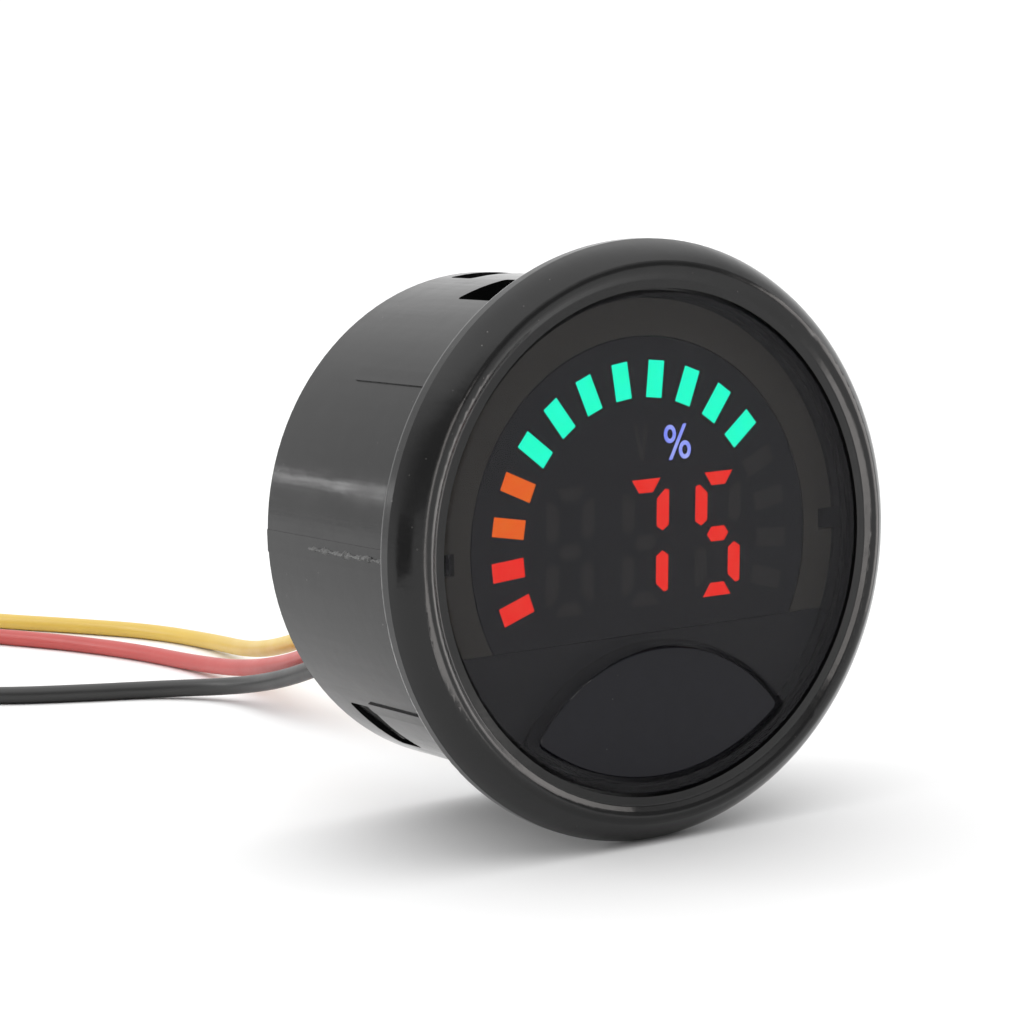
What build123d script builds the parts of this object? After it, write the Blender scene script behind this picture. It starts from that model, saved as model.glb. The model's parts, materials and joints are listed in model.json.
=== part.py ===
"""Display head of a battery monitor: a round 52 mm panel gauge with a bar arc, three digits, one key and three leads.

Millimetres. +X is to the right of somebody who faces the gauge, +Y runs into the panel and +Z is up.
The origin is the centre of the flange's rear seat, on the axis of the round body.
"""

import os
from math import cos, pi, radians, sin, tan

from build123d import *

os.makedirs("parts", exist_ok=True)

# ---- housing ----
FLANGE_R = 30.0
BODY_R = 26.0
BODY_END = 28.4  # depth of the body behind the panel's face
SEAT_CORNER = 0.9  # rounding where the seat meets the rim
RIM_Y = -1.9  # where the rim starts to curve in
CREST_R = 27.2
CREST_Y = -5.0
RIM_BULGE = 0.42  # how far the rim's curve stands out of its chord
LAND_R = 26.1  # foot of the slope inside the crest
CREST_CORNER = 1.2
LAND_CORNER = 0.3
BODY_CHAMFER = 0.3
WINDOW_R = 25.2
FACE_Y = -4.3  # front of the lens, level with the land around it
LENS_T = 1.4
LENS_BACK = FACE_Y + LENS_T
LENS_R = 24.95
LENS_EDGE = 0.2
SEAL_T = 0.2
BORE_R = 24.3
COVER_T = 1.8
COVER_BORE_R = 25.0

# ---- ribs, windows and slots of the housing ----
GUIDE_W = 2.0
GUIDE_R = 22.6
GUIDE_START = -1.2
GUIDE_END = 24.0
GUIDE_ANGLES = (0, 180)
LUG_ANGLES = (30, 150, 270)
LUG_W = 6.0
LUG_R = 20.45
LUG_FRONT = 3.0
SCREW_RING_R = 21.95
SCREW_R = 0.9
SCREW_FREE = 0.05
BITE = 0.5  # how far a rib's root reaches into the wall
BOARD_Y = 6.5  # front of the main board, on the lugs
CRUSH_ANGLES = (41, 139, 221, 319)
CRUSH_W = 1.6
CRUSH_H = 0.18
CRUSH_END = 19.6
STRIP_W = 2.3  # band of the mould's parting line
STRIP_H = 0.06
FLASH_W = 0.3
FLASH_H = 0.14
WINDOW_ANGLES = (75, 105)
WINDOW_SIZE = (10.0, 6.3)  # along the axis, across it
WINDOW_Y = 11.0
SLOT_SIZE = (4.2, 8.0)
SLOTS = {90: 24.1, 230: 21.8, 310: 21.8}  # angle of each snap slot and its middle along Y
OPENING_CORNER = 0.6

# ---- key and lens opening ----
KEY_TOP_R = 18.3  # the upper edge is an arc about a centre below the gauge
KEY_TOP_Z = -28.6
KEY_BOTTOM_R = 23.55
KEY_GAP = 0.15  # on each side of the edge between key and lens
KEY_CORNER = 0.7
KEY_SINK = 0.6  # how far the key's face is behind the lens's face
KEY_LIP = 0.5  # how far the key's rim stands out behind the lens
KEY_LIP_T = 0.6
KEY_TRAVEL = 0.4
KEY_FREE = 0.1  # between the key's rim and the lens
KEY_RIM_Y = LENS_BACK + KEY_FREE
KEY_EDGE = 0.2
STEM_Z = -14.5
STEM_R = 1.5
PEG_X = 9.0
PEG_Z = -17.0
PEG_R = 0.9
PEG_L = 2.4
SLIDE_GAP = 0.1
CARRIER_GAP = 0.1
LEG_X = 12.5
LEG_Z = -14.0
LEG_R = 1.5

# ---- display ----
DISPLAY_Y = -1.5  # front of the display block
DISPLAY_R = 20.3
DISPLAY_CUT = -9.2  # flat lower edge
POCKET = 0.8  # depth of the diffusers
BAR_COUNT = 16
BAR_STEP = 14.5
BAR_RING_R = 16.16
BAR_LONG = 3.7
BAR_WIDE = 1.9
DIGIT_X = (-8.8, 0.3, 9.3)
DIGIT_LEAN = 0.05  # sideways per unit of height
RING_IN_R = 20.45
RING_OUT_R = 24.1
RING_T = 1.2
SKIRT_T = 1.0
NOTCH_H = 2.2
NOTCH_GAP = 0.3
PERCENT_AT = (4.57, 9.55)
PERCENT_RING_AT = (0.9, 0.85)
PERCENT_RING = (0.75, 0.92)
PERCENT_HOLE = (0.33, 0.48)
PERCENT_SLASH = [(0.74, 1.75), (1.18, 1.75), (-0.7, -1.75), (-1.14, -1.75)]
VOLT_AT = (0.15, 9.9)
VOLT_SHAPE = [(-0.95, 1.8), (-0.45, 1.8), (0, -0.7), (0.45, 1.8), (0.95, 1.8), (0.25, -1.8), (-0.25, -1.8)]

# outlines of a digit's segments about its middle, before it leans
SEGMENTS = {
    "a": [(-1.75, 6.15), (1.75, 6.15), (0.85, 4.8), (-0.85, 4.8)],
    "b": [(2.85, 4.85), (2.35, 5.0), (1.35, 4.1), (1.35, 1.35), (2.1, 0.85), (2.85, 1.35)],
    "c": [(2.85, -5.15), (2.35, -5.3), (1.35, -4.4), (1.35, -1.65), (2.1, -1.15), (2.85, -1.65)],
    "d": [(-1.75, -6.45), (1.75, -6.45), (0.85, -5.1), (-0.85, -5.1)],
    "e": [(-2.85, -5.15), (-2.35, -5.3), (-1.35, -4.4), (-1.35, -1.65), (-2.1, -1.15), (-2.85, -1.65)],
    "f": [(-2.85, 4.85), (-2.35, 5.0), (-1.35, 4.1), (-1.35, 1.35), (-2.1, 0.85), (-2.85, 1.35)],
    "g": [(-1.35, -0.15), (-0.8, 0.6), (0.8, 0.6), (1.35, -0.15), (0.8, -0.9), (-0.8, -0.9)],
}

# ---- electronics ----
BOARD_R = 23.6
BOARD_T = 1.6
BOARD_BACK = BOARD_Y + BOARD_T
SCREW_HEAD_R = 1.7
SCREW_HEAD_H = 1.2
SCREW_CROSS_W = 0.4
CHIP_LIFT = 0.1
CHIP_EDGE = 0.12
CHIP_MARK = 0.8
CHIP_PIN_L = 1.0
CHIP_PIN_W = 0.4
CHIP_PIN_T = 0.2
CHIPS = {  # middle x, middle z, width, height, thickness
    "micro_chip": (-5.5, 5.5, 7.0, 7.0, 1.4),
    "driver_chip": (6.5, 5.5, 4.0, 10.0, 1.5),
    "regulator": (-14.5, -2.0, 3.6, 6.5, 1.6),
}
CHIP_ROWS = {"micro_chip": 8, "driver_chip": 8, "regulator": 3}  # pins on each side
CHIP_PITCH = {"micro_chip": 0.8, "driver_chip": 1.27, "regulator": 2.3}
INDUCTOR_AT = (-10.5, -11.5)
INDUCTOR_W = 6.0
INDUCTOR_H = 3.0
CAN_AT = (11.5, -11.5)
CAN_R = 3.15
CAN_BASE = 1.0
CAN_BASE_W = 6.6
CAN_H = 4.8
DIODE_AT = (14.5, -2.0)
DIODE_SIZE = (2.6, 4.3)
DIODE_H = 2.1
DIODE_TAPER = 4  # degrees
SMALL_CHIPS = [
    (-1.2, 10.5),
    (1.2, 10.5),
    (-1.2, 1.0),
    (1.2, 1.0),
    (12.5, 4.5),
    (12.5, 7.5),
    (-14.0, 7.0),
    (6.5, -8.5),
]
SMALL_SIZE = (1.25, 2.0)
SMALL_H = 0.6
WIRE_PITCH = 2.5
WIRE_Z = -12.0  # middle one of the three wires
HEADER_L = 9.8
HEADER_W = 5.8
HEADER_H = 7.0
HEADER_FLOOR = 1.5
HEADER_WALL = 0.7
HEADER_PIN_R = 0.32
HEADER_PIN_L = 5.8
PLUG_FREE = 0.2
PLUG_END = 18.4
CONTACT_END = 15.4
SWITCH_W = 6.0
SWITCH_H = 3.5
SWITCH_CORNER = 0.4
SWITCH_WELL = 1.6
SWITCH_LEG_W = 0.7
SWITCH_LEG_UP = 2.25  # each leg's distance above or below the switch's middle
LEG_UP = 1.0
SHEET_T = 0.25
PIN_TAIL = 1.2
PIN_PITCH = 2.54
PIN_COUNT = 8
PIN_ROWS = (15.0, -5.5)
PIN_R = 0.3
PIN_FREE = 0.12
PLUNGER_R = 1.7
PLUNGER_TOP = 2.2
PLUNGER_EDGE = 0.3
PLUNGER_FREE = 0.05  # between the key's stem and the plunger

# ---- rear cover ----
COVER_GROOVE_R = 21.0
COVER_GROOVE_W = 0.8
HOOK_W = 6.6
HOOK_IN_R = 22.5
HOOK_OUT_R = 23.8
HOOK_TIP_R = 25.5
HOOK_BARB = 1.6
GROMMET_L = 10.0
GROMMET_W = 5.0
GROMMET_LIP = 1.0

# ---- leads ----
LEAD_R = 1.1
GROMMET_END = 30.0
WIRE_FREE = 0.05
TIP_R = 0.6
TIP_L = 7.0
FLOOR_Z = LEAD_R - FLANGE_R  # height of a lead's middle where it lies level with the flange's lowest point
BEND_SHARE = 0.45

EXIT_Z = {"yellow": WIRE_Z + WIRE_PITCH, "red": WIRE_Z, "black": WIRE_Z - WIRE_PITCH}

ROUTES = {
    "yellow": [
        (0.0, GROMMET_END, EXIT_Z["yellow"]),
        (0.0, 40.0, EXIT_Z["yellow"]),
        (2.2, 54.0, -12.3),
        (6.4, 73.0, -18.4),
        (12.0, 93.0, -23.6),
        (18.4, 114.0, -27.6),
        (21.8, 131.0, FLOOR_Z),
        (19.6, 145.5, FLOOR_Z),
        (13.4, 159.0, FLOOR_Z),
        (6.6, 172.0, FLOOR_Z),
        (3.0, 185.0, FLOOR_Z),
        (3.6, 197.0, FLOOR_Z),
        (6.8, 206.5, FLOOR_Z),
    ],
    "red": [
        (0.0, GROMMET_END, EXIT_Z["red"]),
        (0.0, 40.0, EXIT_Z["red"]),
        (1.6, 54.0, -14.8),
        (4.8, 70.0, -20.2),
        (8.6, 87.0, -24.8),
        (10.6, 102.0, -27.6),
        (11.6, 117.0, FLOOR_Z),
        (10.2, 131.0, FLOOR_Z),
        (6.6, 145.0, FLOOR_Z),
        (1.2, 158.0, FLOOR_Z),
        (-3.6, 171.0, FLOOR_Z),
        (-5.0, 184.0, FLOOR_Z),
        (-3.4, 196.0, FLOOR_Z),
        (0.4, 207.0, FLOOR_Z),
    ],
    "black": [
        (0.0, GROMMET_END, EXIT_Z["black"]),
        (0.0, 40.0, EXIT_Z["black"]),
        (1.4, 53.0, -17.1),
        (3.2, 67.0, -21.4),
        (4.8, 81.0, -25.4),
        (5.4, 93.5, -28.0),
        (-0.2, 103.0, FLOOR_Z),
        (-9.6, 108.0, FLOOR_Z),
        (-18.4, 113.6, FLOOR_Z),
        (-25.0, 122.0, FLOOR_Z),
        (-27.6, 134.0, FLOOR_Z),
        (-26.8, 147.0, FLOOR_Z),
        (-23.6, 160.0, FLOOR_Z),
        (-20.6, 173.0, FLOOR_Z),
        (-20.4, 185.0, FLOOR_Z),
        (-22.8, 196.0, FLOOR_Z),
    ],
}


def across(y):
    """Plane across the axis at y, seen from the front: local x is +X and local y is +Z."""
    return Plane.XZ.offset(-y)


def spots(radius, angles):
    """Points on a circle about the axis, as seen from the front."""
    return [(radius * cos(radians(angle)), radius * sin(radians(angle))) for angle in angles]


def facing(angle, y, radius):
    """Plane square to a radius: local x is +Y and the normal points outwards."""
    out = Vector(cos(radians(angle)), 0, sin(radians(angle)))
    return Plane(origin=out * radius + Vector(0, y, 0), x_dir=(0, 1, 0), z_dir=out)


def side_view(angle):
    """Plane through the axis at an angle: local x is the radius and local y is +Y."""
    across_x, across_z = cos(radians(angle)), sin(radians(angle))
    return Plane(origin=(0, 0, 0), x_dir=(across_x, 0, across_z), z_dir=(-across_z, 0, across_x))


def bend_radii(points):
    """Radius of each bend of a route, as large as its two runs allow."""
    corners = [Vector(*point) for point in points]
    radii = []
    for before, corner, after in zip(corners, corners[1:], corners[2:]):
        turn = radians((corner - before).get_angle(after - corner))
        shorter = min((corner - before).length, (after - corner).length)
        radii.append(BEND_SHARE * shorter / tan(turn / 2))
    return radii


def save(builder, name):
    """Labels a finished piece and writes it."""
    builder.part.label = name
    export_step(builder.part, f"parts/{name}.step")


def ring(outer, inner):
    """Flat ring in the current sketch."""
    Circle(outer)
    Circle(inner, mode=Mode.SUBTRACT)


def half_below(height, mode=Mode.INTERSECT):
    """Keeps what is below a height in the current sketch, or removes it."""
    with Locations((0, height)):
        Rectangle(4 * FLANGE_R, 4 * FLANGE_R, align=(Align.CENTER, Align.MAX), mode=mode)


def key_outline(grow, corner):
    """Crescent between the display and the lens's lower edge, larger by grow all round."""
    with BuildSketch(mode=Mode.PRIVATE) as crescent:
        Circle(KEY_BOTTOM_R + grow)
        with Locations((0, KEY_TOP_Z)):
            Circle(KEY_TOP_R + grow, mode=Mode.INTERSECT)
        fillet(crescent.vertices(), radius=corner)
    return crescent.sketch


def bar_outlines(first, last):
    """Bars of the arc, counted from the lower left."""
    with BuildSketch(mode=Mode.PRIVATE) as bars:
        for number in range(first, last + 1):
            angle = 90 + ((BAR_COUNT + 1) / 2 - number) * BAR_STEP
            middle = spots(BAR_RING_R, [angle])[0]
            with Locations(Location((*middle, 0), (0, 0, angle))):
                Rectangle(BAR_LONG, BAR_WIDE)
    return bars.sketch


def digit_outlines(*lit):
    """The named segments of each digit, leaning to the right."""
    with BuildSketch(mode=Mode.PRIVATE) as digits:
        for middle, names in zip(DIGIT_X, lit):
            for name in names:
                Polygon(*[(middle + x + y * DIGIT_LEAN, y) for x, y in SEGMENTS[name]], align=None)
    return digits.sketch


def percent_outline():
    """Percent sign: two upright rings and a slash."""
    with BuildSketch(mode=Mode.PRIVATE) as sign:
        ring_x, ring_z = PERCENT_RING_AT
        with Locations(PERCENT_AT):
            with Locations((-ring_x, ring_z), (ring_x, -ring_z)):
                Ellipse(*PERCENT_RING)
                Ellipse(*PERCENT_HOLE, mode=Mode.SUBTRACT)
            Polygon(*PERCENT_SLASH, align=None)
    return sign.sketch


def volt_outline():
    """Letter V beside the percent sign."""
    with BuildSketch(mode=Mode.PRIVATE) as sign:
        with Locations(VOLT_AT):
            Polygon(*VOLT_SHAPE, align=None)
    return sign.sketch


screw_spots = spots(SCREW_RING_R, LUG_ANGLES)
switch_leg_x = (SWITCH_W + SHEET_T) / 2
switch_leg_spots = [
    (side * switch_leg_x, STEM_Z + up * SWITCH_LEG_UP) for side in (-1, 1) for up in (-1, 1)
]
display_pin_spots = [(PIN_PITCH * (n - (PIN_COUNT - 1) / 2), row) for n in range(PIN_COUNT) for row in PIN_ROWS]

# ==== housing ====
with BuildPart() as housing:
    with BuildSketch(Plane.XY) as section:
        with BuildLine():
            rim_chord = Vector(CREST_R - FLANGE_R, CREST_Y - RIM_Y)
            rim_out = rim_chord.rotate(Axis.Z, 90).normalized() * RIM_BULGE
            rim_mid = Vector(FLANGE_R, RIM_Y) + rim_chord * 0.5 + rim_out
            ThreePointArc((FLANGE_R, RIM_Y), rim_mid, (CREST_R, CREST_Y))
            Polyline(
                (CREST_R, CREST_Y),
                (LAND_R, FACE_Y),
                (WINDOW_R, FACE_Y),
                (WINDOW_R, LENS_BACK + SEAL_T),
                (BORE_R, LENS_BACK + SEAL_T),
                (BORE_R, BODY_END - COVER_T),
                (COVER_BORE_R, BODY_END - COVER_T),
                (COVER_BORE_R, BODY_END),
                (BODY_R, BODY_END),
                (BODY_R, 0),
                (FLANGE_R, 0),
                (FLANGE_R, RIM_Y),
            )
        make_face()
        fillet(section.vertices().sort_by_distance((CREST_R, CREST_Y))[0], radius=CREST_CORNER)
        fillet(section.vertices().sort_by_distance((LAND_R, FACE_Y))[0], radius=LAND_CORNER)
        fillet(section.vertices().sort_by_distance((FLANGE_R, 0))[0], radius=SEAT_CORNER)
        chamfer(section.vertices().sort_by_distance((BODY_R, BODY_END))[0], length=BODY_CHAMFER)
    revolve(axis=Axis.Y)
    with BuildSketch(*[facing(angle, 0, BODY_R - BITE) for angle in GUIDE_ANGLES]):
        Rectangle(BODY_END - BODY_CHAMFER, STRIP_W, align=(Align.MIN, Align.CENTER))
    extrude(amount=BITE + STRIP_H)
    with BuildSketch(*[facing(angle, 0, BODY_R - BITE) for angle in GUIDE_ANGLES]):
        Rectangle(CRUSH_END, FLASH_W, align=(Align.MIN, Align.CENTER))
    extrude(amount=BITE + FLASH_H)
    with BuildSketch(*[facing(angle, 0, BODY_R - BITE) for angle in CRUSH_ANGLES]):
        Rectangle(CRUSH_END - CRUSH_W / 2, CRUSH_W, align=(Align.MIN, Align.CENTER))
        with Locations((CRUSH_END - CRUSH_W / 2, 0)):
            Circle(CRUSH_W / 2)
    extrude(amount=BITE + CRUSH_H)
    with BuildSketch(*[facing(angle, GUIDE_START, GUIDE_R) for angle in GUIDE_ANGLES]):
        Rectangle(GUIDE_END - GUIDE_START, GUIDE_W, align=(Align.MIN, Align.CENTER))
    extrude(amount=BORE_R + BITE - GUIDE_R)
    with BuildSketch(*[facing(angle, LUG_FRONT, LUG_R) for angle in LUG_ANGLES]):
        Rectangle(BOARD_Y - LUG_FRONT, LUG_W, align=(Align.MIN, Align.CENTER))
    extrude(amount=BORE_R + BITE - LUG_R)
    with BuildSketch(across(BOARD_Y)):
        with Locations(*screw_spots):
            Circle(SCREW_R + SCREW_FREE)
    extrude(amount=BOARD_Y - LUG_FRONT, mode=Mode.SUBTRACT)
    with BuildSketch(*[facing(angle, WINDOW_Y, BODY_R + BITE) for angle in WINDOW_ANGLES]):
        RectangleRounded(*WINDOW_SIZE, OPENING_CORNER)
    extrude(amount=BORE_R - BODY_R - 3 * BITE, mode=Mode.SUBTRACT)
    with BuildSketch(*[facing(angle, y, BODY_R + BITE) for angle, y in SLOTS.items()]):
        RectangleRounded(*SLOT_SIZE, OPENING_CORNER)
    extrude(amount=BORE_R - BODY_R - 3 * BITE, mode=Mode.SUBTRACT)
save(housing, "housing")

# ==== lens and its seal ====
with BuildPart() as lens:
    with BuildSketch(across(FACE_Y)):
        Circle(LENS_R)
        add(key_outline(KEY_GAP, KEY_CORNER), mode=Mode.SUBTRACT)
    extrude(amount=-LENS_T)
    chamfer(lens.faces().sort_by(Axis.Y)[0].outer_wire().edges(), length=LENS_EDGE)
save(lens, "lens")

with BuildPart() as lens_seal:
    with BuildSketch(across(LENS_BACK)):
        ring(LENS_R - WIRE_FREE, BORE_R + WIRE_FREE)
    extrude(amount=-SEAL_T)
save(lens_seal, "lens_seal")

# ==== push key ====
with BuildPart() as push_key:
    with BuildSketch(across(FACE_Y + KEY_SINK)):
        add(key_outline(-KEY_GAP, KEY_CORNER))
    extrude(amount=-(KEY_RIM_Y - FACE_Y - KEY_SINK))
    fillet(push_key.faces().sort_by(Axis.Y)[0].outer_wire().edges(), radius=KEY_EDGE)
    with BuildSketch(across(KEY_RIM_Y)):
        add(key_outline(KEY_LIP, KEY_CORNER))
    extrude(amount=-KEY_LIP_T)
    with BuildSketch(across(KEY_RIM_Y + KEY_LIP_T)):
        with Locations((0, STEM_Z)):
            Circle(STEM_R)
    extrude(amount=-(PLUNGER_TOP - PLUNGER_FREE - KEY_RIM_Y - KEY_LIP_T))
    with BuildSketch(across(KEY_RIM_Y + KEY_LIP_T)):
        with Locations((PEG_X, PEG_Z), (-PEG_X, PEG_Z)):
            Circle(PEG_R)
    extrude(amount=-PEG_L)
save(push_key, "push_key")

with BuildPart() as key_carrier:
    with BuildSketch(across(DISPLAY_Y)):
        Circle(RING_OUT_R)
        half_below(DISPLAY_CUT - CARRIER_GAP)
        with Locations((0, STEM_Z)):
            Circle(STEM_R + SLIDE_GAP, mode=Mode.SUBTRACT)
        with Locations((PEG_X, PEG_Z), (-PEG_X, PEG_Z)):
            Circle(PEG_R + SLIDE_GAP, mode=Mode.SUBTRACT)
    extrude(amount=-RING_T)
    with BuildSketch(across(DISPLAY_Y + RING_T)):
        with Locations((LEG_X, LEG_Z), (-LEG_X, LEG_Z)):
            Circle(LEG_R)
    extrude(amount=-(BOARD_Y - DISPLAY_Y - RING_T))
save(key_carrier, "key_carrier")

# ==== tactile switch under the key ====
with BuildPart() as switch_base:
    with BuildSketch(across(BOARD_Y)):
        with Locations((0, STEM_Z)):
            Rectangle(SWITCH_W, SWITCH_W)
    extrude(amount=SWITCH_H)
    chamfer(switch_base.edges().filter_by(Axis.Y), length=SWITCH_CORNER)
    with BuildSketch(across(BOARD_Y - SWITCH_H)):
        with Locations((0, STEM_Z)):
            Circle(PLUNGER_R + SLIDE_GAP)
    extrude(amount=-SWITCH_WELL, mode=Mode.SUBTRACT)
save(switch_base, "switch_base")

with BuildPart() as switch_cover:
    with BuildSketch(across(BOARD_Y - SWITCH_H)):
        with Locations((0, STEM_Z)):
            RectangleRounded(SWITCH_W - SWITCH_CORNER, SWITCH_W - SWITCH_CORNER, SWITCH_CORNER)
            Circle(PLUNGER_R + SLIDE_GAP, mode=Mode.SUBTRACT)
    extrude(amount=SHEET_T)
save(switch_cover, "switch_cover")

with BuildPart() as switch_plunger:
    with BuildSketch(across(PLUNGER_TOP)):
        with Locations((0, STEM_Z)):
            Circle(PLUNGER_R)
    extrude(amount=-(BOARD_Y - SWITCH_H + SWITCH_WELL - KEY_TRAVEL - SLIDE_GAP - PLUNGER_TOP))
    fillet(switch_plunger.edges().group_by(Axis.Y)[0], radius=PLUNGER_EDGE)
save(switch_plunger, "switch_plunger")

with BuildPart() as switch_legs:
    with BuildSketch(across(BOARD_Y - LEG_UP)):
        with Locations(*switch_leg_spots):
            Rectangle(SHEET_T, SWITCH_LEG_W)
    extrude(amount=-(LEG_UP + BOARD_T + PIN_TAIL))
save(switch_legs, "switch_legs")

# ==== display ====
with BuildPart() as display_ring:
    with BuildSketch(across(DISPLAY_Y)):
        ring(RING_OUT_R, RING_IN_R)
        half_below(DISPLAY_CUT, mode=Mode.SUBTRACT)
    extrude(amount=-RING_T)
    with BuildSketch(across(DISPLAY_Y + RING_T)):
        ring(RING_OUT_R, RING_OUT_R - SKIRT_T)
        half_below(DISPLAY_CUT, mode=Mode.SUBTRACT)
    extrude(amount=-(LUG_FRONT - DISPLAY_Y - RING_T))
    with BuildSketch(across(DISPLAY_Y)):
        with Locations((RING_OUT_R, 0), (-RING_OUT_R, 0)):
            Rectangle(2 * (RING_OUT_R - GUIDE_R + NOTCH_GAP), NOTCH_H)
    extrude(amount=-(LUG_FRONT - DISPLAY_Y), mode=Mode.SUBTRACT)
save(display_ring, "display_ring")

diffusers = {
    "bars_red": bar_outlines(1, 2),
    "bars_orange": bar_outlines(3, 4),
    "bars_green": bar_outlines(5, 12),
    "bars_unlit": bar_outlines(13, BAR_COUNT),
    "digits_lit": digit_outlines("", "abc", "afgcd"),
    "digits_unlit": digit_outlines("abcdefg", "defg", "be"),
    "percent_sign": percent_outline(),
    "volt_sign": volt_outline(),
}

with BuildPart() as display_block:
    with BuildSketch(across(DISPLAY_Y)):
        Circle(DISPLAY_R)
        half_below(DISPLAY_CUT, mode=Mode.SUBTRACT)
    extrude(amount=-(BOARD_Y - DISPLAY_Y))
    with BuildSketch(across(DISPLAY_Y)):
        for outline in diffusers.values():
            add(outline)
    extrude(amount=-POCKET, mode=Mode.SUBTRACT)
save(display_block, "display_block")

for name, outline in diffusers.items():
    with BuildPart() as diffuser:
        with BuildSketch(across(DISPLAY_Y)):
            add(outline)
        extrude(amount=-POCKET)
    save(diffuser, name)

with BuildPart() as display_pins:
    with BuildSketch(across(BOARD_Y)):
        with Locations(*display_pin_spots):
            Circle(PIN_R)
    extrude(amount=-(BOARD_T + PIN_TAIL))
save(display_pins, "display_pins")

# ==== main board and what is on its rear ====
with BuildPart() as main_board:
    with BuildSketch(across(BOARD_Y)):
        Circle(BOARD_R)
        with Locations((BOARD_R, 0), (-BOARD_R, 0)):
            Rectangle(2 * (BOARD_R - GUIDE_R + NOTCH_GAP), NOTCH_H, mode=Mode.SUBTRACT)
        with Locations(*screw_spots):
            Circle(SCREW_R + 4 * SCREW_FREE, mode=Mode.SUBTRACT)
        with Locations(*display_pin_spots):
            Circle(PIN_R + PIN_FREE, mode=Mode.SUBTRACT)
        with Locations(*switch_leg_spots):
            Rectangle(SHEET_T + 2 * PIN_FREE, SWITCH_LEG_W + 2 * PIN_FREE, mode=Mode.SUBTRACT)
    extrude(amount=-BOARD_T)
save(main_board, "main_board")

with BuildPart() as board_screws:
    with BuildSketch(across(BOARD_BACK)):
        with Locations(*screw_spots):
            Circle(SCREW_R)
    extrude(amount=BOARD_BACK - LUG_FRONT)
    with BuildSketch(across(BOARD_BACK)):
        with Locations(*screw_spots):
            Circle(SCREW_HEAD_R)
    extrude(amount=-SCREW_HEAD_H)
    fillet(board_screws.edges().group_by(Axis.Y)[-1], radius=SCREW_HEAD_H / 3)
    with BuildSketch(across(BOARD_BACK + SCREW_HEAD_H)):
        with Locations(*screw_spots):
            Rectangle(SCREW_HEAD_R, SCREW_CROSS_W)
            Rectangle(SCREW_CROSS_W, SCREW_HEAD_R)
    extrude(amount=SCREW_HEAD_H / 2, mode=Mode.SUBTRACT)
save(board_screws, "board_screws")

for name, (x, z, wide, tall, thick) in CHIPS.items():
    with BuildPart() as chip:
        with BuildSketch(across(BOARD_BACK + CHIP_LIFT)):
            with Locations((x, z)):
                Rectangle(wide, tall)
        extrude(amount=-thick)
        chamfer(chip.edges().group_by(Axis.Y)[-1], length=CHIP_EDGE)
        with BuildSketch(across(BOARD_BACK + CHIP_LIFT + thick)):
            with Locations((x - wide / 2 + CHIP_MARK, z + tall / 2 - CHIP_MARK)):
                Circle(CHIP_MARK / 2)
        extrude(amount=CHIP_LIFT, mode=Mode.SUBTRACT)
    save(chip, name)

with BuildPart() as chip_pins:
    for name, row in CHIP_ROWS.items():
        x, z, wide, tall, thick = CHIPS[name]
        for side in (-1, 1):
            for n in range(row):
                along = CHIP_PITCH[name] * (n - (row - 1) / 2)
                with BuildSketch(across(BOARD_BACK)):
                    with Locations((x + side * (wide / 2 + CHIP_PIN_L / 2), z + along)):
                        Rectangle(CHIP_PIN_L, CHIP_PIN_W)
                extrude(amount=-CHIP_PIN_T)
                with BuildSketch(across(BOARD_BACK + CHIP_PIN_T)):
                    with Locations((x + side * (wide / 2 + CHIP_PIN_T / 2), z + along)):
                        Rectangle(CHIP_PIN_T, CHIP_PIN_W)
                extrude(amount=-thick / 2)
save(chip_pins, "chip_pins")

with BuildPart() as inductor:
    with BuildSketch(across(BOARD_BACK)):
        with Locations(INDUCTOR_AT):
            RectangleRounded(INDUCTOR_W, INDUCTOR_W, INDUCTOR_W / 5)
    extrude(amount=-INDUCTOR_H)
    with BuildSketch(across(BOARD_BACK + INDUCTOR_H)):
        with Locations(INDUCTOR_AT):
            ring(INDUCTOR_W / 2 - CHIP_PIN_L, INDUCTOR_W / 3 - CHIP_PIN_L / 2)
    extrude(amount=CHIP_PIN_L, mode=Mode.SUBTRACT)
save(inductor, "inductor")

with BuildPart() as capacitor_base:
    with BuildSketch(across(BOARD_BACK)):
        with Locations(CAN_AT):
            Rectangle(CAN_BASE_W, CAN_BASE_W)
    extrude(amount=-CAN_BASE)
    chamfer(capacitor_base.edges().filter_by(Axis.Y).sort_by(Axis.X)[-2:], length=CAN_BASE)
save(capacitor_base, "capacitor_base")

with BuildPart() as capacitor_can:
    with BuildSketch(across(BOARD_BACK + CAN_BASE)):
        with Locations(CAN_AT):
            Circle(CAN_R)
    extrude(amount=-CAN_H)
    fillet(capacitor_can.edges().group_by(Axis.Y)[-1], radius=CAN_BASE / 2)
save(capacitor_can, "capacitor_can")

with BuildPart() as diode:
    with BuildSketch(across(BOARD_BACK)):
        with Locations(DIODE_AT):
            Rectangle(*DIODE_SIZE)
    extrude(amount=-DIODE_H, taper=DIODE_TAPER)
save(diode, "diode")

with BuildPart() as small_chips:
    with BuildSketch(across(BOARD_BACK)):
        with Locations(*SMALL_CHIPS):
            Rectangle(*SMALL_SIZE)
    extrude(amount=-SMALL_H)
save(small_chips, "small_chips")

# ==== wire header and plug ====
wire_spots = [(0, z) for z in EXIT_Z.values()]

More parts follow.
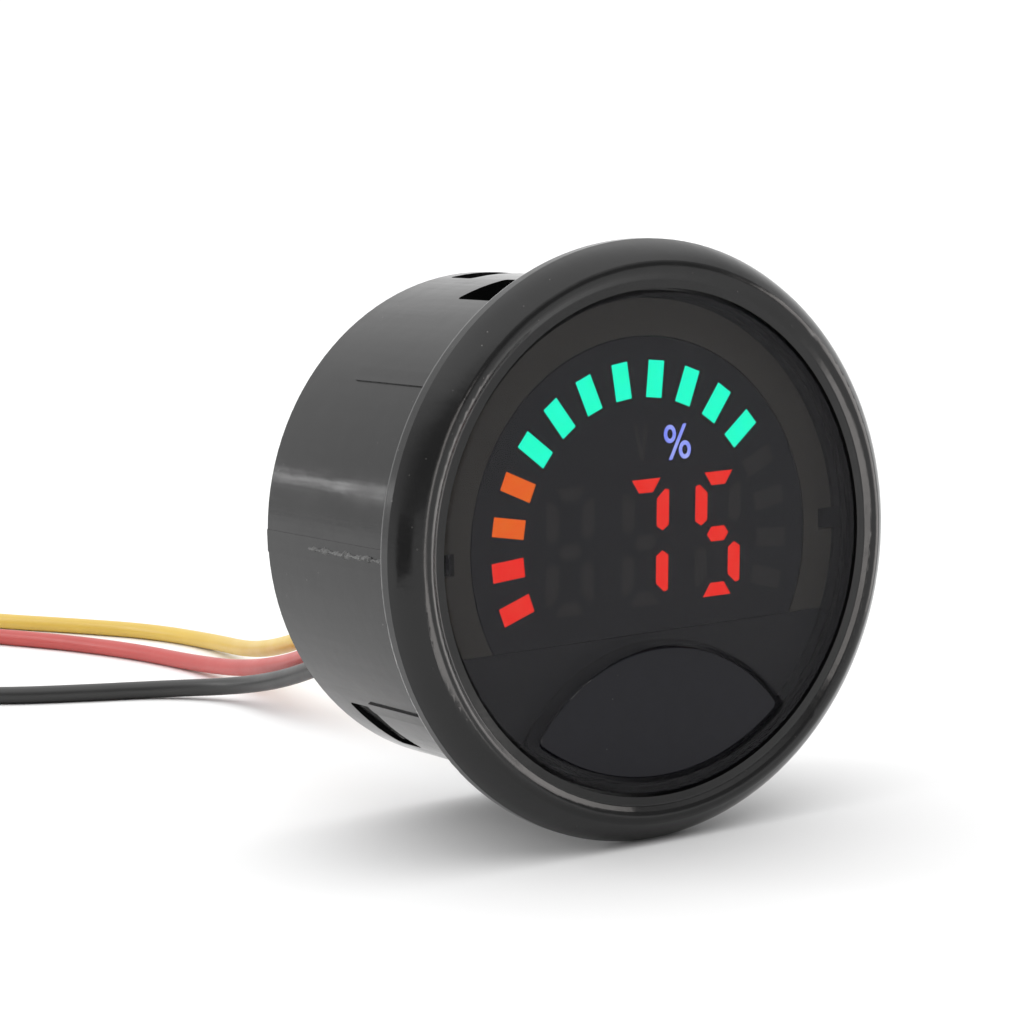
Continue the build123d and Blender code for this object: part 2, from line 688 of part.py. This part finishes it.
with BuildPart() as wire_header:
    with BuildSketch(across(BOARD_BACK)):
        with Locations((0, WIRE_Z)):
            Rectangle(HEADER_W, HEADER_L)
    extrude(amount=-HEADER_H)
    with BuildSketch(across(BOARD_BACK + HEADER_FLOOR)):
        with Locations((0, WIRE_Z)):
            Rectangle(HEADER_W - 2 * HEADER_WALL, HEADER_L - 2 * HEADER_WALL)
    extrude(amount=-HEADER_H, mode=Mode.SUBTRACT)
    with BuildSketch(across(BOARD_BACK)):
        with Locations(*wire_spots):
            Circle(HEADER_PIN_R + SLIDE_GAP)
    extrude(amount=-HEADER_FLOOR, mode=Mode.SUBTRACT)
save(wire_header, "wire_header")

with BuildPart() as header_pins:
    with BuildSketch(across(BOARD_BACK)):
        with Locations(*wire_spots):
            Circle(HEADER_PIN_R)
    extrude(amount=-HEADER_PIN_L)
    chamfer(header_pins.edges().group_by(Axis.Y)[-1], length=SLIDE_GAP)
save(header_pins, "header_pins")

plug_start = BOARD_BACK + HEADER_FLOOR + SLIDE_GAP
contact_start = plug_start + SLIDE_GAP
with BuildPart() as wire_plug:
    with BuildSketch(across(plug_start)):
        with Locations((0, WIRE_Z)):
            Rectangle(HEADER_W - 2 * HEADER_WALL - PLUG_FREE, HEADER_L - 2 * HEADER_WALL - PLUG_FREE)
    extrude(amount=-(PLUG_END - plug_start))
    chamfer(wire_plug.edges().group_by(Axis.Y)[-1], length=SLIDE_GAP)
    with BuildSketch(across(plug_start)):
        with Locations(*wire_spots):
            Circle(LEAD_R + WIRE_FREE)
    extrude(amount=-(PLUG_END - plug_start), mode=Mode.SUBTRACT)
save(wire_plug, "wire_plug")

with BuildPart() as wire_contacts:
    with BuildSketch(across(contact_start)):
        with Locations(*wire_spots):
            ring(LEAD_R, HEADER_PIN_R + WIRE_FREE)
    extrude(amount=-(CONTACT_END - contact_start))
save(wire_contacts, "wire_contacts")

# ==== rear cover with its snap hooks, and the grommet ====
cover_seat = BODY_END - COVER_T
with BuildPart() as rear_cover:
    with BuildSketch(across(cover_seat)):
        Circle(COVER_BORE_R - SLIDE_GAP)
        with Locations((0, WIRE_Z)):
            SlotOverall(GROMMET_L, GROMMET_W, rotation=90, mode=Mode.SUBTRACT)
    extrude(amount=-COVER_T)
    with BuildSketch(across(BODY_END)):
        ring(COVER_GROOVE_R + COVER_GROOVE_W, COVER_GROOVE_R)
    extrude(amount=COVER_GROOVE_W / 2, mode=Mode.SUBTRACT)
    for angle, catch in SLOTS.items():
        with BuildSketch(side_view(angle)):
            Polygon(
                (HOOK_IN_R, cover_seat),
                (HOOK_OUT_R, cover_seat),
                (HOOK_OUT_R, catch + HOOK_BARB),
                (HOOK_TIP_R, catch + HOOK_BARB),
                (HOOK_TIP_R, catch + HOOK_BARB / 2),
                (HOOK_OUT_R, catch - HOOK_BARB),
                (HOOK_OUT_R - BITE, catch - HOOK_BARB - BITE),
                (HOOK_IN_R, catch - HOOK_BARB - BITE),
                align=None,
            )
        extrude(amount=HOOK_W / 2, both=True)
save(rear_cover, "rear_cover")

with BuildPart() as wire_grommet:
    with BuildSketch(across(cover_seat - GROMMET_LIP)):
        with Locations((0, WIRE_Z)):
            SlotOverall(GROMMET_L + 2 * GROMMET_LIP, GROMMET_W + 2 * GROMMET_LIP, rotation=90)
    extrude(amount=-GROMMET_LIP)
    with BuildSketch(across(cover_seat)):
        with Locations((0, WIRE_Z)):
            SlotOverall(GROMMET_L - 2 * WIRE_FREE, GROMMET_W - 2 * WIRE_FREE, rotation=90)
    extrude(amount=-COVER_T)
    with BuildSketch(across(BODY_END)):
        with Locations((0, WIRE_Z)):
            SlotOverall(GROMMET_L + 2 * GROMMET_LIP, GROMMET_W + 2 * GROMMET_LIP, rotation=90)
    extrude(amount=-(GROMMET_END - BODY_END))
    fillet(wire_grommet.edges().group_by(Axis.Y)[-1], radius=GROMMET_LIP / 2)
    with BuildSketch(across(GROMMET_END)):
        with Locations(*wire_spots):
            Circle(LEAD_R + WIRE_FREE)
    extrude(amount=GROMMET_END - cover_seat + GROMMET_LIP, mode=Mode.SUBTRACT)
save(wire_grommet, "wire_grommet")

# ==== leads ====
for colour, points in ROUTES.items():
    with BuildPart() as inner:
        with BuildSketch(across(CONTACT_END)):
            with Locations((0, EXIT_Z[colour])):
                Circle(LEAD_R)
        extrude(amount=-(GROMMET_END - CONTACT_END))
    save(inner, f"lead_inner_{colour}")

    radii = bend_radii(points)
    with BuildPart() as lead:
        with BuildLine() as route:
            FilletPolyline(*points, radius=radii)
        with BuildSketch(Plane(origin=route.line @ 0, z_dir=route.line % 0)):
            Circle(LEAD_R)
        sweep()
    save(lead, f"lead_{colour}")
    length = sum(edge.length for edge in route.edges())
    ratio = lead.part.volume / (pi * LEAD_R**2 * length)
    print(f"lead_{colour}: length {length:.1f}, volume / (section x length) {ratio:.4f}")
    print("  radii", [round(radius, 1) for radius in radii])

    end = Vector(*points[-1])
    with BuildPart() as tip:
        with BuildSketch(Plane(origin=end, z_dir=end - Vector(*points[-2]))):
            Circle(TIP_R)
        extrude(amount=TIP_L)
    save(tip, f"lead_tip_{colour}")
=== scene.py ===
"""Looks of a battery monitor's display head: finishes, free leads, bare ends and the studio around them."""

import json
import math
import random

import bmesh
import bpy
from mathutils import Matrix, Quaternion, Vector


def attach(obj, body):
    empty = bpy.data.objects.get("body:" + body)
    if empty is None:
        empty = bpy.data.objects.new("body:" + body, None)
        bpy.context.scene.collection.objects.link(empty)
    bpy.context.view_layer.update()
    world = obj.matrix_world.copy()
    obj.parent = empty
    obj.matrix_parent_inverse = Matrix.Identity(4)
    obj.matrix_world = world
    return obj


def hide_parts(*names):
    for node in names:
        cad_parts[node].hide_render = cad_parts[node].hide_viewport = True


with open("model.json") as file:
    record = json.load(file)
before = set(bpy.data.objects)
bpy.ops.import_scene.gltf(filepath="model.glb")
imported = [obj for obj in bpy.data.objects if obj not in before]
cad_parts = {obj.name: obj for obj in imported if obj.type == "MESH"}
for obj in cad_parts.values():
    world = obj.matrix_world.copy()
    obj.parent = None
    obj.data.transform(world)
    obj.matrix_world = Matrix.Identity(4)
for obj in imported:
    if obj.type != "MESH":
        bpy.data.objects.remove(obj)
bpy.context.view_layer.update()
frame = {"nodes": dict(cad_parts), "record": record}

PER_MM = 1000.0  # texture scales below are counted per millimetre
LEAD_D = 0.0022
FLOOR_Z = -0.030
LEAD_Z = -0.0289  # middle of a lead that lies on the floor

BARE_R = 0.0006
BARE_L = 0.0079  # with the stretch that is still inside the sheath
BARE_HIDDEN = 0.001
STRAND_TURNS = 1.15
STRAND_STEPS = 40
STRAND_RAGGED = 0.035  # share of its length by which the shortest strand is cut back

FLASH_R = 0.02604  # radius of the band that the parting line runs along
FLASH_ROOT = 0.0002
FLASH_START = 0.0003
FLASH_L = 0.0192
FLASH_ROWS = 120
FLASH_DRIFT = 0.00005

WARM = (1.0, 0.95, 0.92)

# control points of each free lead, from the grommet's rear face to the end of its sheath
ROUTES = {
    "yellow": [
        (0.0, 0.030, -0.0095),
        (0.0, 0.040, -0.0095),
        (0.0022, 0.054, -0.0123),
        (0.0064, 0.073, -0.0184),
        (0.012, 0.093, -0.0236),
        (0.0184, 0.114, -0.0276),
        (0.0218, 0.131, LEAD_Z),
        (0.0196, 0.1455, LEAD_Z),
        (0.0134, 0.159, LEAD_Z),
        (0.0066, 0.172, LEAD_Z),
        (0.003, 0.185, LEAD_Z),
        (0.0036, 0.197, LEAD_Z),
        (0.0068, 0.2065, LEAD_Z),
    ],
    "red": [
        (0.0, 0.030, -0.012),
        (0.0, 0.040, -0.012),
        (0.0016, 0.054, -0.0148),
        (0.0048, 0.070, -0.0202),
        (0.0086, 0.087, -0.0248),
        (0.0106, 0.102, -0.0276),
        (0.0116, 0.117, LEAD_Z),
        (0.0102, 0.131, LEAD_Z),
        (0.0066, 0.145, LEAD_Z),
        (0.0012, 0.158, LEAD_Z),
        (-0.0036, 0.171, LEAD_Z),
        (-0.005, 0.184, LEAD_Z),
        (-0.0034, 0.196, LEAD_Z),
        (0.0004, 0.207, LEAD_Z),
    ],
    "black": [
        (0.0, 0.030, -0.0145),
        (0.0, 0.040, -0.0145),
        (0.0014, 0.053, -0.0171),
        (0.0032, 0.067, -0.0214),
        (0.0048, 0.081, -0.0254),
        (0.0054, 0.0935, -0.028),
        (-0.0002, 0.103, LEAD_Z),
        (-0.0096, 0.108, LEAD_Z),
        (-0.0184, 0.1136, LEAD_Z),
        (-0.025, 0.122, LEAD_Z),
        (-0.0276, 0.134, LEAD_Z),
        (-0.0268, 0.147, LEAD_Z),
        (-0.0236, 0.160, LEAD_Z),
        (-0.0206, 0.173, LEAD_Z),
        (-0.0204, 0.185, LEAD_Z),
        (-0.0228, 0.196, LEAD_Z),
    ],
}


looks = {}  # every Look by its name, which for the CAD's pieces is their material slot


class Look:
    """A Principled material with short ways to wire textures into it."""

    def __init__(self, name, roughness=0.4, color=(0.5, 0.5, 0.5), **sockets):
        self.material = bpy.data.materials.new(name)
        self.material.use_nodes = True
        self.tree = self.material.node_tree
        self.shader = self.tree.nodes["Principled BSDF"]
        self.shader.inputs["Roughness"].default_value = roughness
        self.shader.inputs["Base Color"].default_value = (*color, 1)
        for socket, value in sockets.items():
            self.shader.inputs[socket.replace("_", " ")].default_value = value
        self.place = self.tree.nodes.new("ShaderNodeTexCoord").outputs["Object"]
        self.material.diffuse_color = (*color, 1)
        looks[name] = self

    def node(self, kind, **inputs):
        made = self.tree.nodes.new("ShaderNode" + kind)
        for name, value in inputs.items():
            self.feed(made.inputs[name.replace("_", " ")], value)
        return made

    def feed(self, socket, value):
        if isinstance(value, bpy.types.NodeSocket):
            self.tree.links.new(value, socket)
        else:
            socket.default_value = value

    def stretched(self, scale=(1, 1, 1), turn=(0, 0, 0)):
        return self.node("Mapping", Vector=self.place, Scale=scale, Rotation=turn).outputs["Vector"]

    def noise(self, per_mm, detail=3.0, roughness=0.5, place=None):
        made = self.node("TexNoise", Vector=place or self.place, Scale=per_mm * PER_MM, Detail=detail)
        made.inputs["Roughness"].default_value = roughness
        return made.outputs["Fac"]

    def specks(self, per_mm, size, soft=0.02):
        """White dots on black, spread at random."""
        cells = self.node("TexVoronoi", Vector=self.place, Scale=per_mm * PER_MM, Randomness=1.0)
        return self.ranged(cells.outputs["Distance"], size, size + soft, 1.0, 0.0)

    def ranged(self, value, low, high, to_low, to_high):
        made = self.node("MapRange", Value=value)
        for name, number in (("From Min", low), ("From Max", high), ("To Min", to_low), ("To Max", to_high)):
            made.inputs[name].default_value = number
        return made.outputs["Result"]

    def math(self, operation, a, b=0.0):
        made = self.tree.nodes.new("ShaderNodeMath")
        made.operation = operation
        self.feed(made.inputs[0], a)
        self.feed(made.inputs[1], b)
        return made.outputs[0]

    def mix(self, share, a, b):
        made = self.tree.nodes.new("ShaderNodeMix")
        made.data_type = "RGBA"
        self.feed(made.inputs["Factor"], share)
        self.feed(made.inputs[6], a if isinstance(a, bpy.types.NodeSocket) else (*a, 1))
        self.feed(made.inputs[7], b if isinstance(b, bpy.types.NodeSocket) else (*b, 1))
        return made.outputs[2]

    def color(self, value):
        self.feed(self.shader.inputs["Base Color"], value)

    def rough(self, value):
        self.feed(self.shader.inputs["Roughness"], value)

    def bump(self, height, distance_mm, strength=1.0):
        made = self.node("Bump", Height=height)
        made.inputs["Distance"].default_value = distance_mm / PER_MM
        made.inputs["Strength"].default_value = strength
        above = self.shader.inputs["Normal"]
        if above.is_linked:
            self.feed(made.inputs["Normal"], above.links[0].from_socket)
        self.feed(above, made.outputs["Normal"])


def plastic(name, dark, light, roughness, grain=2.0, depth=0.01):
    """Moulded plastic: a slow change of shade, smudged gloss and a fine grain."""
    look = Look(name, color=light)
    look.color(look.mix(look.noise(0.12, 4), dark, light))
    smudge = look.noise(0.25, 5, 0.6)
    look.rough(look.ranged(smudge, 0.3, 0.7, roughness - 0.05, roughness + 0.05))
    look.bump(look.noise(grain, 3), depth)


def housing_look(name, dark, light, roughness, ior, wave):
    """Glossy black moulding: faint flow lines along the axis, smudges, dust and orange peel."""
    look = Look(name, color=light, IOR=ior)
    flow = look.noise(0.5, 3, 0.6, look.stretched((1, 0.08, 1)))
    shade = look.mix(flow, dark, light)
    dust = look.math("MULTIPLY", look.specks(0.75, 0.045), look.ranged(look.noise(0.1), 0.5, 0.7, 0.0, 0.35))
    look.color(look.mix(dust, shade, (0.5, 0.48, 0.46)))
    smudge = look.ranged(look.noise(0.09, 6, 0.65), 0.35, 0.7, 0.0, 0.12)
    scratches = look.ranged(look.noise(2.2, 2, 0.5, look.stretched((1, 0.05, 1))), 0.55, 0.75, 0.0, 0.06)
    look.rough(look.math("ADD", look.math("ADD", smudge, scratches), roughness))
    look.bump(look.noise(0.3, 3, 0.5, look.stretched((1, 0.06, 1))), wave)
    look.bump(look.noise(0.35, 2), 0.02)
    look.bump(look.noise(3.0, 3), 0.003)


def glow(name, color, core, strength, base):
    """Lit diffuser: its glow drifts between two close tints in soft clouds."""
    look = Look(name, 0.5, base)
    look.color(look.mix(look.noise(1.4, 2), base, tuple(0.8 * c for c in base)))
    cloud = look.ranged(look.noise(0.9, 2), 0.3, 0.7, 0, 1)
    look.feed(look.shader.inputs["Emission Color"], look.mix(cloud, color, core))
    look.shader.inputs["Emission Strength"].default_value = strength
    look.bump(look.noise(6.0, 2), 0.001)


def metal(name, color, roughness, along=(1, 1, 1)):
    """Bare or plated metal: fine drawn lines and a slight tarnish."""
    look = Look(name, roughness, color, Metallic=1.0)
    look.color(look.mix(look.noise(0.8, 4), color, tuple(0.75 * c for c in color)))
    lines = look.noise(6.0, 2, 0.5, look.stretched(along))
    look.rough(look.ranged(lines, 0.3, 0.7, roughness - 0.08, roughness + 0.12))
    look.bump(lines, 0.004)


housing_look("housing_black", (0.004, 0.004, 0.0042), (0.008, 0.0079, 0.008), 0.1, 1.42, 0.05)
housing_look("key_black", (0.006, 0.006, 0.009), (0.008, 0.008, 0.012), 0.08, 1.29, 0.0)
plastic("seal_black", (0.012, 0.012, 0.012), (0.02, 0.02, 0.02), 0.85, grain=4.0)
plastic("inner_black", (0.04, 0.04, 0.05), (0.05, 0.05, 0.06), 0.5, grain=0.1, depth=0.002)
plastic("ring_brown", (0.19, 0.17, 0.14), (0.25, 0.225, 0.19), 0.6, grain=0.1, depth=0.002)
plastic("display_black", (0.045, 0.045, 0.058), (0.055, 0.055, 0.068), 0.6, grain=0.1, depth=0.002)
glow("glow_red", (1.0, 0.014, 0.006), (1.0, 0.028, 0.012), 2.6, (0.3, 0.02, 0.015))
glow("glow_orange", (1.0, 0.12, 0.0), (1.0, 0.16, 0.004), 2.5, (0.3, 0.1, 0.02))
glow("glow_green", (0.0, 1.0, 0.58), (0.0, 1.0, 0.64), 3.3, (0.01, 0.3, 0.18))
glow("glow_blue", (0.17, 0.23, 1.0), (0.4, 0.46, 1.0), 3.1, (0.1, 0.12, 0.4))
plastic("diffuser_off", (0.09, 0.09, 0.088), (0.12, 0.12, 0.115), 0.6, grain=0.1, depth=0.002)
plastic("switch_red", (0.012, 0.012, 0.012), (0.03, 0.03, 0.03), 0.45)
plastic("chip_black", (0.015, 0.015, 0.016), (0.035, 0.035, 0.036), 0.6, grain=8.0)
plastic("ferrite", (0.06, 0.06, 0.06), (0.12, 0.12, 0.118), 0.75, grain=8.0, depth=0.02)
plastic("ceramic_tan", (0.33, 0.24, 0.15), (0.42, 0.32, 0.2), 0.5, grain=6.0)
plastic("header_cream", (0.66, 0.62, 0.5), (0.78, 0.74, 0.64), 0.4)
plastic("rubber_black", (0.012, 0.012, 0.012), (0.024, 0.024, 0.024), 0.7, grain=3.0, depth=0.02)
plastic("wire_yellow", (0.6, 0.4, 0.055), (0.68, 0.48, 0.08), 0.36, grain=1.2)
plastic("wire_red", (0.42, 0.045, 0.04), (0.52, 0.075, 0.065), 0.36, grain=1.2)
plastic("wire_black", (0.012, 0.012, 0.012), (0.026, 0.026, 0.025), 0.36, grain=1.2)
metal("steel", (0.55, 0.55, 0.54), 0.3)
metal("pins_tin", (0.75, 0.74, 0.71), 0.3)
metal("can_aluminium", (0.78, 0.78, 0.79), 0.28, (1, 0.1, 1))
metal("wire_tin", (0.74, 0.7, 0.64), 0.3)

lens = Look("lens_smoke", 0.05, (0.005, 0.005, 0.008), IOR=1.34, Alpha=0.47)
dusty = lens.ranged(lens.noise(0.07), 0.45, 0.65, 0.0, 0.5)
lens_dust = lens.math("MULTIPLY", lens.specks(0.42, 0.02, 0.015), dusty)
lens.color(lens.mix(lens_dust, (0.008, 0.008, 0.01), (0.5, 0.48, 0.45)))
lens.rough(lens.ranged(lens.noise(0.08, 6, 0.6), 0.4, 0.75, 0.04, 0.13))
lens.bump(lens.noise(0.05, 2), 0.01)

board = Look("board_green", 0.3, (0.02, 0.12, 0.055))
copper = board.node("TexBrick", Vector=board.stretched((1, 1, 1), (math.pi / 2, 0, 0)), Scale=0.42 * PER_MM)
copper.inputs["Color1"].default_value = (0.03, 0.17, 0.08, 1)
copper.inputs["Color2"].default_value = (0.025, 0.145, 0.07, 1)
copper.inputs["Mortar"].default_value = (0.012, 0.085, 0.04, 1)
copper.inputs["Mortar Size"].default_value = 0.035
pours = board.ranged(board.noise(0.2, 2), 0.45, 0.55, 0, 1)
board.color(board.mix(pours, copper.outputs["Color"], (0.016, 0.1, 0.047)))
board.rough(board.ranged(board.noise(0.3, 4), 0.3, 0.7, 0.24, 0.4))
board.bump(copper.outputs["Fac"], 0.02, 0.5)

slots = {part["node"]: part["material_slot"] for part in frame["record"]["subparts"]}
for name, piece in frame["nodes"].items():
    piece.data.materials.clear()
    piece.data.materials.append(looks[slots[name]].material)


def dress(piece, slot, body="head"):
    """Finish, material slot and body of an added piece."""
    piece.data.materials.clear()
    piece.data.materials.append(looks[slot].material)
    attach(piece, body)


def new_curve(name, bevel):
    """Empty round-section curve with closed ends."""
    data = bpy.data.curves.new(name, "CURVE")
    data.dimensions = "3D"
    data.bevel_depth = bevel
    data.bevel_resolution = 6
    data.resolution_u = 12
    data.use_fill_caps = True
    made = bpy.data.objects.new(name, data)
    bpy.context.scene.collection.objects.link(made)
    return made


def strands(name, start, along, length, radius):
    """Seven twisted wires: one in the middle and six round it."""
    made = new_curve(name, radius / 3)
    made.data.bevel_resolution = 2
    side = along.cross(Vector((0, 0, 1))).normalized()
    up = side.cross(along)
    for wire in range(7):
        spline = made.data.splines.new("POLY")
        spline.points.add(STRAND_STEPS)
        reach = 0.0 if wire == 0 else radius * 2 / 3
        cut = length * (1 - STRAND_RAGGED * ((wire * 3) % 7) / 6)
        for step in range(STRAND_STEPS + 1):
            share = step / STRAND_STEPS
            turn = 2 * math.pi * (wire / 6 + STRAND_TURNS * share)
            point = start + along * (cut * share) + (side * math.cos(turn) + up * math.sin(turn)) * reach
            spline.points[step].co = (*point, 1)
    return made


for color, points in ROUTES.items():
    lead = new_curve(f"cord_{color}", LEAD_D / 2)
    spline = lead.data.splines.new("NURBS")
    spline.points.add(len(points) - 1)
    for control, point in zip(spline.points, points):
        control.co = (*point, 1)
    spline.order_u = 3
    spline.use_endpoint_u = True
    dress(lead, f"wire_{color}")
    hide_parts(f"lead_{color}")
    end = Vector(points[-1])
    along = (end - Vector(points[-2])).normalized()
    bare = strands(f"bare_{color}", end - along * BARE_HIDDEN, along, BARE_L, BARE_R)
    dress(bare, "wire_tin")
    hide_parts(f"lead_tip_{color}")

# rough finish for the flash, paler grey than the housing: a painted highlight of the light the ridge catches
plastic("flash_painted_highlight", (0.03, 0.03, 0.03), (0.12, 0.12, 0.118), 0.45, grain=3.0, depth=0.02)

# ragged flash left along the mould's parting line, on both sides of the body; its grey, paler than the
# housing, is a painted highlight along the ridge
chance = random.Random(7)
for name, side in (("flash_left", -1), ("flash_right", 1)):
    corners, faces = [], []
    for row in range(FLASH_ROWS + 1):
        y = FLASH_START + FLASH_L * row / FLASH_ROWS
        wave = 0.5 + 0.5 * math.sin(row * 0.37 + side) * math.sin(row * 0.11)
        height = 0.00012 + 0.00034 * wave * chance.uniform(0.4, 1.0)
        width = 0.0002 + 0.0005 * wave * chance.uniform(0.4, 1.0)
        drift = chance.uniform(-FLASH_DRIFT, FLASH_DRIFT)
        corners += [
            (side * (FLASH_R - FLASH_ROOT), y, drift - width),
            (side * (FLASH_R + height), y, drift - width * 0.25),
            (side * (FLASH_R + height * chance.uniform(0.6, 0.95)), y, drift + width * 0.3),
            (side * (FLASH_R - FLASH_ROOT), y, drift + width),
        ]
        if row:
            here = 4 * row
            for edge in range(4):
                following = (edge + 1) % 4
                faces.append((here + edge, here + following, here + following - 4, here + edge - 4))
    faces += [(0, 1, 2, 3), tuple(range(4 * FLASH_ROWS, 4 * FLASH_ROWS + 4))]
    mesh = bpy.data.meshes.new(name)
    mesh.from_pydata(corners, [], faces)
    shape = bmesh.new()
    shape.from_mesh(mesh)
    bmesh.ops.recalc_face_normals(shape, faces=shape.faces)
    shape.to_mesh(mesh)
    shape.free()
    ridge = bpy.data.objects.new(name, mesh)
    bpy.context.scene.collection.objects.link(ridge)
    dress(ridge, "housing_black")
    ridge.data.materials[0] = looks["flash_painted_highlight"].material

# ---- studio ----
floor_look = Look("floor_white", 0.7, (0.92, 0.92, 0.92))
floor_look.color(floor_look.mix(floor_look.noise(0.01, 2), (0.92, 0.92, 0.92), (0.9, 0.9, 0.9)))
bpy.ops.mesh.primitive_plane_add(size=6, location=(0, 0, FLOOR_Z))
floor = bpy.context.object
floor.name = "floor"
floor.data.materials.append(floor_look.material)

world = bpy.data.worlds.new("studio")
world.use_nodes = True
sky = world.node_tree.nodes
heading = sky.new("ShaderNodeSeparateXYZ")
world.node_tree.links.new(sky.new("ShaderNodeTexCoord").outputs["Generated"], heading.inputs[0])


def sky_step(value, low, high, to_low, to_high):
    """Smooth change between two levels; each may be a number or another step."""
    made = sky.new("ShaderNodeMapRange")
    made.interpolation_type = "SMOOTHSTEP"
    made.inputs["From Min"].default_value = low
    made.inputs["From Max"].default_value = high
    world.node_tree.links.new(value, made.inputs["Value"])
    for name, level in (("To Min", to_low), ("To Max", to_high)):
        if isinstance(level, bpy.types.NodeSocket):
            world.node_tree.links.new(level, made.inputs[name])
        else:
            made.inputs[name].default_value = level
    return made.outputs["Result"]


# dim in front, bright behind and brightest above, as under a large overhead softbox
around = sky_step(heading.outputs["Y"], -0.6, 0.5, 0.35, 1.1)
middle = sky_step(heading.outputs["Z"], 0.06, 0.2, 1.1, around)
above = sky_step(heading.outputs["Z"], 0.5, 0.85, middle, 1.8)
world.node_tree.links.new(above, sky["Background"].inputs["Strength"])
sky["Background"].inputs["Color"].default_value = (1.0, 1.0, 1.0, 1)
bpy.context.scene.world = world


def panel(name, at, towards, size, power, tint=(1, 1, 1), only_glossy=False):
    """Soft light panel that faces a point; only_glossy keeps it to reflections."""
    data = bpy.data.lights.new(name, "AREA")
    data.shape = "RECTANGLE"
    data.size, data.size_y = size
    data.energy = power
    data.color = tint
    made = bpy.data.objects.new(name, data)
    made.location = at
    made.rotation_euler = (Vector(towards) - Vector(at)).to_track_quat("-Z", "Y").to_euler()
    made.visible_camera = made.visible_diffuse = not only_glossy
    bpy.context.scene.collection.objects.link(made)


panel("rear_strip", (-0.55, 0.5, 0.3), (-0.03, 0.02, 0), (0.06, 0.5), 1.0)
panel("front_low", (-0.045, -0.19, 0.03), (-0.045, 0, 0.03), (0.05, 0.12), 0.075, WARM, only_glossy=True)
on_floor = (-0.019, -0.12, FLOOR_Z + 0.001)
panel("front_floor", on_floor, (-0.019, -0.12, 1), (0.062, 0.14), 0.11, WARM, only_glossy=True)
panel("right_low", (0.1, -0.045, 0.015), (0, -0.045, 0.015), (0.05, 0.09), 0.042, WARM, only_glossy=True)
panel("side_strip", (-0.67, 1.0, 0.18), (-0.02, 0.01, 0), (0.3, 0.04), 0.12)


def card(name, at, turn, size, shade):
    """Upright card that only shows as a reflection in glossy parts."""
    look = Look(name, 0.9, (shade, shade, shade))
    look.color(look.mix(look.noise(0.02, 2), (0.9 * shade,) * 3, (shade,) * 3))
    bpy.ops.mesh.primitive_plane_add(size=1, location=at, rotation=(math.pi / 2, 0, math.radians(turn)))
    made = bpy.context.object
    made.name = name
    made.scale = (*size, 1)
    made.data.materials.append(look.material)
    made.visible_camera = made.visible_diffuse = made.visible_shadow = False


card("left_card", (-0.2, -0.075, 0.0), 73, (0.14, 0.058), 0.2)

# ---- camera ----
camera = bpy.data.objects.new("camera", bpy.data.cameras.new("camera"))
camera.data.lens = 111.4
camera.data.sensor_width = 36
camera.location = (-0.182674, -0.254287, 0.042961)
azimuth, elevation, roll = math.radians(33.482), math.radians(-7.240), math.radians(-1.940)
level = math.cos(elevation)
look_along = Vector((math.sin(azimuth) * level, math.cos(azimuth) * level, math.sin(elevation)))
camera.rotation_mode = "QUATERNION"
camera.rotation_quaternion = look_along.to_track_quat("-Z", "Y") @ Quaternion((0, 0, 1), roll)
bpy.context.scene.collection.objects.link(camera)
bpy.context.scene.camera = camera
bpy.context.scene.view_settings.view_transform = "Standard"
